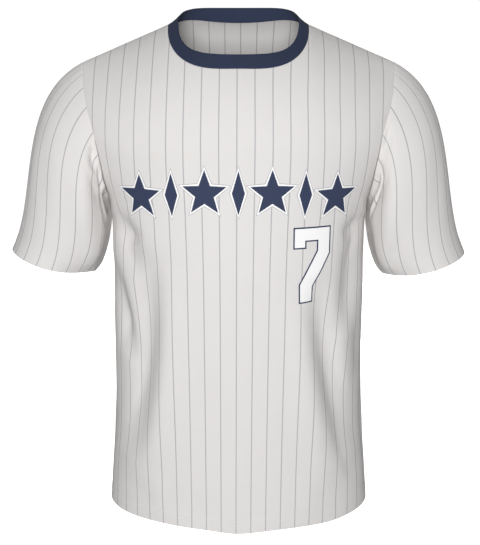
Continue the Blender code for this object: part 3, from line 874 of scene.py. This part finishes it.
def sleeve_grain(points):
    """Each point's place in the flat sleeve: across from the top line, and along from the armhole.
    The underarm line is there twice, as the front's edge and as the back's."""
    closed = np.concatenate([points, points[:1]])
    along = lengths_along(closed, axis=1)
    front, back = closed[: ARMHOLE_ROWS + 1], closed[ARMHOLE_ROWS:]
    across = np.concatenate([cloth_from_top(front), -cloth_from_top(back[::-1])[::-1]])
    return across, np.concatenate([along[: ARMHOLE_ROWS + 1], along[ARMHOLE_ROWS:]])


def leaning(across, along, amount):
    """Where the stripes run: near the armhole they lean towards the shoulder point."""
    shift = curve_through([row.across for row in SLEEVE_LEAN], [row.shift for row in SLEEVE_LEAN], np.abs(across))
    fade = np.clip(1 - along / LEAN_REACH, 0, 1) ** LEAN_FADE
    return across + amount * np.sign(across) * shift * fade


def sleeve_relief(angle, t):
    """Short folds that fan out from the armpit, fading before the cuff."""
    fan = np.cos(SLEEVE_FOLD_COUNT * 2 * angle)[:, None]
    near_armpit = smooth_step((SLEEVE_FOLD_TOP - np.cos(angle))[:, None])
    return -SLEEVE_FOLD_DEPTH * fan * near_armpit * (np.sin(math.pi * t) * (1 - 0.5 * t))[None, :]


def share_normals(first, second):
    """Seam normals that two pieces share where they run on smoothly, and each keeps where they fold apart."""
    together = smooth_step(np.sum(first * second, axis=-1, keepdims=True) / SMOOTH_SEAM_COSINE)
    mean = (first + second) / 2
    shared = []
    for own in (first, second):
        mixed = mean * together + own * (1 - together)
        shared.append(mixed / np.linalg.norm(mixed, axis=-1, keepdims=True))
    return shared


def make_sleeve(name, side, cuff_drop, creases, stripe_shift, lean):
    points, angle, t = sleeve_grid(side, armhole_ring(side, front_grid.points, back_grid.points), cuff_drop)
    across, along = sleeve_grain(points)
    places = np.delete(np.stack([across, along], axis=-1), ARMHOLE_ROWS + 1, axis=0)[:-1]
    grain = np.stack([leaning(across, along, lean), along], axis=-1)
    relief = sleeve_relief(angle, t) + fold_relief(creases + REAR_CREASES, places)
    relief *= smooth_step(places[:, :, 1] / CREASE_HOLD)
    points = points + side * grid_normals(points, closed=True) * relief[:, :, None]
    normals = side * grid_normals(points, closed=True)

    edge, half = (-1 if side > 0 else 0), ARMHOLE_ROWS
    front_shared, sleeve_front = share_normals(front_normals[edge, BODY_ROWS:][::-1], normals[: half + 1, 0])
    rim = np.concatenate([normals[half:, 0], normals[:1, 0]])
    back_shared, sleeve_back = share_normals(back_normals[edge, BODY_ROWS:], rim)
    front_normals[edge, BODY_ROWS:] = front_shared[::-1]
    back_normals[edge, BODY_ROWS:] = back_shared
    normals[: half + 1, 0] = sleeve_front
    normals[half + 1 :, 0] = sleeve_back[1:-1]

    lengths = lengths_along(points, axis=1)
    hem = hem_raise(lengths[:, -1:] - lengths)
    outer = points + normals * (groove(lengths) + HEM_RAISE * hem)[:, :, None]
    pull_back(outer, normals, (slice(None), 0), (slice(None), 1))
    thickness = CLOTH_THICKNESS * (1 + hem)
    piece = shell(name, outer, normals, thickness, grain, closed=True, flipped=side < 0, underarm=ARMHOLE_ROWS)
    dress(piece, striped_jersey(name + "_jersey", stripe_shift), "sleeve_jersey", name.replace("_cloth", ""))
    return piece, points, normals


left_sleeve, left_points, left_normals = make_sleeve(
    "sleeve_left_cloth", 1, LEFT_CUFF_DROP, LEFT_CREASES, LEFT_STRIPE_SHIFT, LEFT_LEAN
)
right_sleeve, right_points, right_normals = make_sleeve(
    "sleeve_right_cloth", -1, RIGHT_CUFF_DROP, RIGHT_CREASES, RIGHT_STRIPE_SHIFT, RIGHT_LEAN
)


# Neckband
# The neckband is a strip of navy rib knit, doubled, joined into a ring and stretched onto the neckline, so that
# it stands up round the neck. Its fold is the top edge.
COLLAR_EDGE = NeckRing(0.0872, 0.0700, 0.0645, 2.50, 3.0)
COLLAR_FRONT_HEIGHT = -0.0305
COLLAR_SIDE_HEIGHT = 0.0175
COLLAR_SCOOP = 0.75
COLLAR_BACK_HEIGHT = 0.0338
COLLAR_ROWS = 18
RIB_THICKNESS = 0.0020
RIB_PITCH = 0.0018
RIB_DEPTH = 0.00045
RIB_NAVY = (0.033, 0.045, 0.090, 1.0)
# Darker navy, painted into the valleys between the ribs as shade, and also mixed in at random as mottling.
RIB_PAINTED_SHADE_AND_MOTTLE = (0.024, 0.033, 0.066, 1.0)


def collar_grid(seam, turns):
    """Outer points of the neckband, [place round the neck][row], from the neck seam to its top edge."""
    x, reach = neck_plan(turns, COLLAR_EDGE)
    ahead = np.cos(turns)
    eased = np.sin(math.pi / 2 * np.abs(ahead))
    scoop = COLLAR_SCOOP * eased + (1 - COLLAR_SCOOP) * np.abs(ahead)
    front = (COLLAR_FRONT_HEIGHT - COLLAR_SIDE_HEIGHT) * scoop
    back = (COLLAR_BACK_HEIGHT - COLLAR_SIDE_HEIGHT) * eased
    z = COLLAR_SIDE_HEIGHT + np.where(ahead > 0, front, back)
    top = np.stack([x, -np.sign(ahead) * reach, z], axis=-1)
    t = np.linspace(0, 1, COLLAR_ROWS + 1)[None, :, None]
    return seam[:, None] + (top - seam)[:, None] * t


def rib_knit():
    finish = Finish("neck_rib", roughness=0.85, sheen_weight=0.03, sheen_roughness=0.4)
    finish.shader.inputs["Specular IOR Level"].default_value = CLOTH_GLOSS
    across, along = finish.grain()
    rib = abs((across / RIB_PITCH * math.pi).math("SINE"))
    stitch = ((along / COURSE_HEIGHT) * math.tau).math("SINE")
    # Painted shade: the navy darkens in the rib valleys, following the same rib height as the bump. The noise adds a
    # little random tone on top.
    colour = finish.mix(rib * 0.7 + finish.noise(60.0, 3.0) * 0.3, RIB_PAINTED_SHADE_AND_MOTTLE, RIB_NAVY)
    finish.give(finish.shader.inputs["Base Color"], colour)
    finish.bump(rib + stitch * 0.12, RIB_DEPTH, 0.7)
    return finish.material


seam = np.concatenate([front_grid.points[front_grid.neck, -1], back_grid.points[back_grid.neck, -1][-2:0:-1]])
collar = collar_grid(seam, np.concatenate([front_grid.turns, back_grid.turns[-2:0:-1]]))
collar_normals = grid_normals(collar, closed=True)
steps = FRONT_NECK_STEPS
front_shared, collar_front = share_normals(
    front_normals[front_grid.neck, -1], collar_normals[: steps + 1, 0]
)
back_rim = np.concatenate([collar_normals[steps:, 0], collar_normals[:1, 0]])
back_shared, collar_back = share_normals(back_normals[back_grid.neck, -1][::-1], back_rim)
front_normals[front_grid.neck, -1] = front_shared
back_normals[back_grid.neck, -1] = back_shared[::-1]
collar_normals[: steps + 1, 0] = collar_front
collar_normals[steps + 1 :, 0] = collar_back[1:-1]

collar_rise = lengths_along(collar, axis=1)
collar_outer = collar + collar_normals * groove(collar_rise)[:, :, None]
pull_back(collar_outer, collar_normals, (slice(None), 0), (slice(None), 1))
round_neck = lengths_along(np.concatenate([seam, seam[:1]]))
collar_grain = np.stack(
    [
        np.repeat(round_neck[:, None], COLLAR_ROWS + 1, axis=1),
        np.concatenate([collar_rise, collar_rise[:1]]),
    ],
    axis=-1,
)
collar_piece = shell(
    "collar_rib",
    collar_outer,
    collar_normals,
    np.full(collar.shape[:2], RIB_THICKNESS),
    collar_grain,
    closed=True,
)
dress(collar_piece, rib_knit(), "neck_rib", "collar")

front_outer, front_thickness = finish_panel(front_grid, front_normals)
front_grain = stripe_places(front_grid, FRONT_FOLDS)
front_piece = shell("front_cloth", front_outer, front_normals, front_thickness, front_grain)
dress(front_piece, body_jersey, "body_jersey", "front")

back_outer, back_thickness = finish_panel(back_grid, back_normals)
back_grain = stripe_places(back_grid, BACK_FOLDS) + (BACK_STRIPE_OFFSET, 0)
back_piece = shell("back_cloth", back_outer, back_normals, back_thickness, back_grain, flipped=True)
dress(back_piece, body_jersey, "body_jersey", "back")


# Stitching
# The hem and the cuffs are held by two rows of coverstitch in white thread, and a single row runs just below the
# neck seam. Each stitch is a short length of thread that dips into the knit at both ends.
STITCH_LENGTH = 0.0034
STITCH_GAP = 0.0008
STITCH_RADIUS = 0.00022
STITCH_SIDES = 5
HEM_ROW_HEIGHTS = (0.0145, 0.0205)
NECK_ROW_DISTANCE = 0.0032
THREAD_WHITE = (0.74, 0.73, 0.73, 1.0)


def lines_at(points, normals, distances):
    """Lines across a grid's columns, at set distances from its first row, and the normals there."""
    lengths = lengths_along(points, axis=1)
    for distance in distances:
        rows = np.array([np.interp(distance, one, np.arange(len(one))) for one in lengths])
        columns = np.arange(len(points), dtype=float)
        yield between(points, columns, rows), between(normals, columns, rows)


def stitches(line, normals, closed):
    """Vertices and faces of a row of stitches that lie along a line."""
    if closed:
        line, normals = np.concatenate([line, line[:1]]), np.concatenate([normals, normals[:1]])
    lengths = lengths_along(line)
    count = int(lengths[-1] / STITCH_LENGTH)
    vertices, faces = [], []
    profile = ((0.0, 0.25, -0.6), (0.15, 0.9, 0.35), (0.5, 1.0, 0.6), (0.85, 0.9, 0.35), (1.0, 0.25, -0.6))
    sides = np.linspace(0, math.tau, STITCH_SIDES, endpoint=False)
    for number in range(count):
        start = number * lengths[-1] / count
        reach = lengths[-1] / count - STITCH_GAP
        base = len(vertices)
        for share, width, lift in profile:
            place = start + share * reach
            centre = np.array([np.interp(place, lengths, line[:, axis]) for axis in range(3)])
            ahead = np.array([np.interp(place + reach / 9, lengths, line[:, axis]) for axis in range(3)]) - np.array(
                [np.interp(place - reach / 9, lengths, line[:, axis]) for axis in range(3)]
            )
            up = np.array([np.interp(place, lengths, normals[:, axis]) for axis in range(3)])
            up /= np.linalg.norm(up)
            beside = np.cross(up, ahead)
            beside /= np.linalg.norm(beside)
            centre = centre + up * lift * STITCH_RADIUS
            for side in sides:
                vertices.append(centre + (up * math.sin(side) + beside * math.cos(side)) * STITCH_RADIUS * width)
        for ring in range(len(profile) - 1):
            for side in range(STITCH_SIDES):
                a = base + ring * STITCH_SIDES + side
                b = base + ring * STITCH_SIDES + (side + 1) % STITCH_SIDES
                faces.append([a, b, b + STITCH_SIDES, a + STITCH_SIDES])
        faces.append([base + side for side in reversed(range(STITCH_SIDES))])
        faces.append([base + (len(profile) - 1) * STITCH_SIDES + side for side in range(STITCH_SIDES)])
    return vertices, faces


def sewn_rows(name, rows):
    """One piece with the stitches of several rows, each (line, normals, closed)."""
    vertices, faces = [], []
    for row in rows:
        more, more_faces = stitches(*row)
        faces += [[len(vertices) + corner for corner in face] for face in more_faces]
        vertices += more
    mesh = bpy.data.meshes.new(name)
    mesh.from_pydata([list(vertex) for vertex in vertices], [], faces)
    mesh.shade_smooth()
    piece = bpy.data.objects.new(name, mesh)
    bpy.context.scene.collection.objects.link(piece)
    dress(piece, thread, "thread")
    return piece


def thread_finish():
    finish = Finish("thread_white", roughness=0.6)
    twist = finish.noise(2500.0)
    finish.give(finish.shader.inputs["Base Color"], finish.mix(twist, THREAD_WHITE, JERSEY_SHADE))
    return finish.material


thread = thread_finish()
hem_thread = sewn_rows(
    "hem_stitches",
    [
        (line, normals, False)
        for points, normals_of in ((front_outer, front_normals), (back_outer, back_normals))
        for line, normals in lines_at(points, normals_of, HEM_ROW_HEIGHTS)
    ],
)
cuff_threads = [
    sewn_rows(
        name,
        [
            (line, normals, True)
            for line, normals in lines_at(points[:, ::-1], normals_of[:, ::-1], HEM_ROW_HEIGHTS)
        ],
    )
    for name, points, normals_of in (
        ("cuff_left_stitches", left_points + left_normals * HEM_RAISE, left_normals),
        ("cuff_right_stitches", right_points + right_normals * HEM_RAISE, right_normals),
    )
]
neck_thread = sewn_rows(
    "neck_stitches",
    [
        (line, normals, False)
        for outer, normals_of, neck in (
            (front_outer, front_normals, front_grid.neck),
            (back_outer, back_normals, back_grid.neck),
        )
        for line, normals in lines_at(outer[neck, ::-1], normals_of[neck, ::-1], (NECK_ROW_DISTANCE,))
    ],
)


# Chest motifs
# A row of stars and diamonds is heat-pressed across the chest in navy, each inside a white keyline with a thin
# grey edge. Below it, on the wearer's left, a plain block numeral in white with a navy outline is pressed on.
MOTIF_NAVY = (0.030, 0.042, 0.090, 1.0)
MOTIF_WHITE = (0.96, 0.96, 0.96, 1.0)
MOTIF_GREY = (0.42, 0.42, 0.45, 1.0)
MOTIF_LEVEL = -0.2155
MOTIF_DROOP = 0.42  # how much lower the ends of the row sit, for each metre squared from the middle
STAR_RADIUS = 0.0322
STAR_WAIST = 0.42
DIAMOND_HALF_WIDTH = 0.0090
DIAMOND_HALF_HEIGHT = 0.0300
MOTIF_GAP = 0.0072
KEYLINE = 0.0026
GREY_EDGE = 0.0009
LAYER_LIFT = 0.00022
CELL = 0.004
NUMERAL_LEFT = 0.0775
NUMERAL_RIGHT = 0.1350
NUMERAL_TOP = -0.265
NUMERAL_BOTTOM = -0.377
NUMERAL_OUTLINE = 0.0021


def star():
    turns = math.pi / 2 + np.arange(10) * math.pi / 5
    radii = np.where(np.arange(10) % 2 == 0, STAR_RADIUS, STAR_RADIUS * STAR_WAIST)
    return np.stack([radii * np.cos(turns), radii * np.sin(turns)], axis=-1)


def diamond():
    w, h = DIAMOND_HALF_WIDTH, DIAMOND_HALF_HEIGHT
    return np.array([(0, h), (-w, 0), (0, -h), (w, 0)])


def block_seven():
    """The outline of a block 7 in its own box, 1 wide and 2 high, anticlockwise from its lower left."""
    return np.array(
        [
            (0.16, 0.0), (0.56, 0.0), (0.56, 0.42), (1.0, 1.28), (1.0, 2.0), (0.0, 2.0), (0.0, 1.44),
            (0.34, 1.44), (0.34, 1.62), (0.62, 1.62), (0.62, 1.38), (0.16, 0.50),
        ]
    )


def grown(outline, distance):
    """An anticlockwise outline moved out by a distance, with its corners cut like a mitre."""
    before, after = np.roll(outline, 1, axis=0), np.roll(outline, -1, axis=0)
    first = (outline - before) / np.linalg.norm(outline - before, axis=1, keepdims=True)
    second = (after - outline) / np.linalg.norm(after - outline, axis=1, keepdims=True)
    first, second = (np.stack([edge[:, 1], -edge[:, 0]], axis=-1) for edge in (first, second))
    mitre = (first + second) / (1 + np.sum(first * second, axis=1, keepdims=True))
    length = np.linalg.norm(mitre, axis=1, keepdims=True)
    return outline + distance * mitre * np.minimum(1, 1.8 / length)


def on_front(places, lift):
    """Points at a height over the front cloth, from their places across it and by level."""
    column = np.full(len(places), (front_grid.points.shape[0] - 1) / 2)
    row = np.zeros(len(places))
    columns = np.arange(front_grid.points.shape[0], dtype=float)
    rows = np.arange(front_grid.points.shape[1], dtype=float)
    for index, (across, level) in enumerate(places):
        for _ in range(4):
            levels = between(front_grid.levels, np.full(len(rows), column[index]), rows)
            row[index] = np.interp(level, levels, rows)
            widths = between(front_grid.across, columns, np.full(len(columns), row[index]))
            column[index] = np.interp(across, widths, columns)
    normals = between(front_normals, column, row)
    normals /= np.linalg.norm(normals, axis=1, keepdims=True)
    return between(front_outer, column, row) + normals * lift[:, None]


def pressed(name, outlines, low, high, material):
    """A thin film on the front, from closed outlines in the flat cloth, cut into cells that follow its form."""
    flat = bmesh.new()
    for outline in outlines:
        corners = [flat.verts.new((x, z, low)) for x, z in outline]
        face = flat.faces.new(corners)
        face.normal_update()
        bmesh.ops.triangulate(flat, faces=[face], ngon_method="EAR_CLIP")
    spread = np.concatenate(outlines)
    for axis in (0, 1):
        normal = Vector((1, 0, 0)) if axis == 0 else Vector((0, 1, 0))
        for place in np.arange(spread[:, axis].min() + CELL / 2, spread[:, axis].max(), CELL):
            geometry = flat.verts[:] + flat.edges[:] + flat.faces[:]
            bmesh.ops.bisect_plane(flat, geom=geometry, plane_co=normal * place, plane_no=normal, dist=1e-6)
    top = bmesh.ops.extrude_face_region(flat, geom=flat.faces[:])["geom"]
    for vertex in (part for part in top if isinstance(part, bmesh.types.BMVert)):
        vertex.co.z = high
    bmesh.ops.recalc_face_normals(flat, faces=flat.faces[:])
    places = np.array([vertex.co[:2] for vertex in flat.verts])
    lifts = np.array([vertex.co.z for vertex in flat.verts])
    for vertex, point in zip(flat.verts, on_front(places, lifts)):
        vertex.co = point
    mesh = bpy.data.meshes.new(name)
    flat.to_mesh(mesh)
    flat.free()
    mesh.shade_smooth()
    mesh.set_sharp_from_angle(angle=math.radians(50))
    piece = bpy.data.objects.new(name, mesh)
    bpy.context.scene.collection.objects.link(piece)
    dress(piece, material, "applique")
    return piece


def film(name, colour, roughness=0.75):
    """Flexible pressed film, in which the knit below shows as a faint grain."""
    finish = Finish(name, roughness=roughness)
    finish.shader.inputs["Specular IOR Level"].default_value = CLOTH_GLOSS
    darker = [part * 0.94 for part in colour[:3]] + [1.0]
    grain = finish.noise(1200.0)
    finish.give(finish.shader.inputs["Base Color"], finish.mix(grain, colour, darker))
    finish.bump(grain, 0.0001, 0.5)
    return finish.material


star_width = 2 * STAR_RADIUS * math.cos(math.radians(18))
row_shapes = [star, diamond] * 3 + [star]
widths = [star_width if shape is star else 2 * DIAMOND_HALF_WIDTH for shape in row_shapes]
start = -(sum(widths) + MOTIF_GAP * (len(widths) - 1)) / 2
motifs = []
for shape, width in zip(row_shapes, widths):
    middle = start + width / 2
    motifs.append(shape() + (middle, MOTIF_LEVEL - MOTIF_DROOP * middle**2))
    start += width + MOTIF_GAP

numeral = block_seven() * (
    NUMERAL_RIGHT - NUMERAL_LEFT,
    (NUMERAL_TOP - NUMERAL_BOTTOM) / 2,
) + (NUMERAL_LEFT, NUMERAL_BOTTOM)
numeral_inner = grown(numeral, -NUMERAL_OUTLINE)

navy_film, white_film = film("navy_film", MOTIF_NAVY), film("white_film", MOTIF_WHITE)
under = -LAYER_LIFT
pressed_pieces = [
    pressed(
        "chest_motif_edges",
        [grown(outline, KEYLINE + GREY_EDGE) for outline in motifs],
        under,
        LAYER_LIFT,
        film("grey_film", MOTIF_GREY),
    ),
    pressed(
        "chest_motif_keylines", [grown(outline, KEYLINE) for outline in motifs], under, 2 * LAYER_LIFT, white_film
    ),
    pressed("chest_motifs", motifs, under, 3 * LAYER_LIFT, navy_film),
    pressed("numeral_outline", [numeral], under, LAYER_LIFT, navy_film),
    pressed("numeral_face", [numeral_inner], under, 2 * LAYER_LIFT, white_film),
]


flat_cut(front_outer)
flat_cut(back_outer)
for piece, points, stitching in (
    (left_sleeve, left_points, cuff_threads[0]),
    (right_sleeve, right_points, cuff_threads[1]),
):
    flat_cut(np.concatenate([points, points[:1]]))
flat_cut(np.concatenate([collar, collar[:1]]))


# Studio
# The shirt hangs in the air in front of a white sweep, lit by one broad soft light near the camera and by even
# light from all round, and is looked at from a little above.
EYE = (0.0022, -1.343, 0.0)
EYE_PITCH = 15
LENS = 59.45
FLOOR_LEVEL = -1.05
FLOOR_SIZE = 60
ROOM_LIGHT = 0.15
KEY_PLACE = (-0.16, -3.0, 0.20)
KEY_TARGET = (0, 0, -0.30)
KEY_SIZE = 1.3
KEY_POWER = 86
BACK_PLACE = (0.40, 3.0, 0.15)
BACK_POWER = 70

bpy.ops.mesh.primitive_plane_add(size=FLOOR_SIZE, location=(0, 0, FLOOR_LEVEL))
floor = bpy.context.object
floor.name = "floor"
floor_finish = Finish("floor_white", roughness=0.9, emission_strength=1.0)
floor_finish.shader.inputs["Base Color"].default_value = (0.9, 0.9, 0.9, 1.0)
floor_finish.shader.inputs["Emission Color"].default_value = (1.0, 1.0, 1.0, 1.0)
floor.data.materials.append(floor_finish.material)
floor.visible_diffuse = False

world = bpy.data.worlds.new("studio")
bpy.context.scene.world = world
world.use_nodes = True
sky = world.node_tree.nodes["Background"]
seen = world.node_tree.nodes.new("ShaderNodeLightPath").outputs["Is Camera Ray"]
brightness = world.node_tree.nodes.new("ShaderNodeMapRange")
brightness.inputs["To Min"].default_value = ROOM_LIGHT
brightness.inputs["To Max"].default_value = 1.05
world.node_tree.links.new(seen, brightness.inputs["Value"])
world.node_tree.links.new(brightness.outputs[0], sky.inputs["Strength"])
sky.inputs["Color"].default_value = (1.0, 1.0, 1.0, 1.0)

for name, place, power in (("key_light", KEY_PLACE, KEY_POWER), ("back_light", BACK_PLACE, BACK_POWER)):
    panel_light = bpy.data.lights.new(name, "AREA")
    panel_light.size = KEY_SIZE
    panel_light.energy = power
    lamp = bpy.data.objects.new(name, panel_light)
    lamp.location = place
    lamp.rotation_mode = "QUATERNION"
    lamp.rotation_quaternion = (Vector(KEY_TARGET) - Vector(place)).to_track_quat("-Z", "Y")
    lamp.visible_camera = False
    bpy.context.scene.collection.objects.link(lamp)

camera_data = bpy.data.cameras.new("camera")
camera_data.lens = LENS
camera_data.sensor_width = 36
camera = bpy.data.objects.new("camera", camera_data)
camera.location = EYE
camera.rotation_euler = (math.radians(90 - EYE_PITCH), 0, 0)
bpy.context.scene.collection.objects.link(camera)
bpy.context.scene.camera = camera
bpy.context.scene.view_settings.view_transform = "Standard"
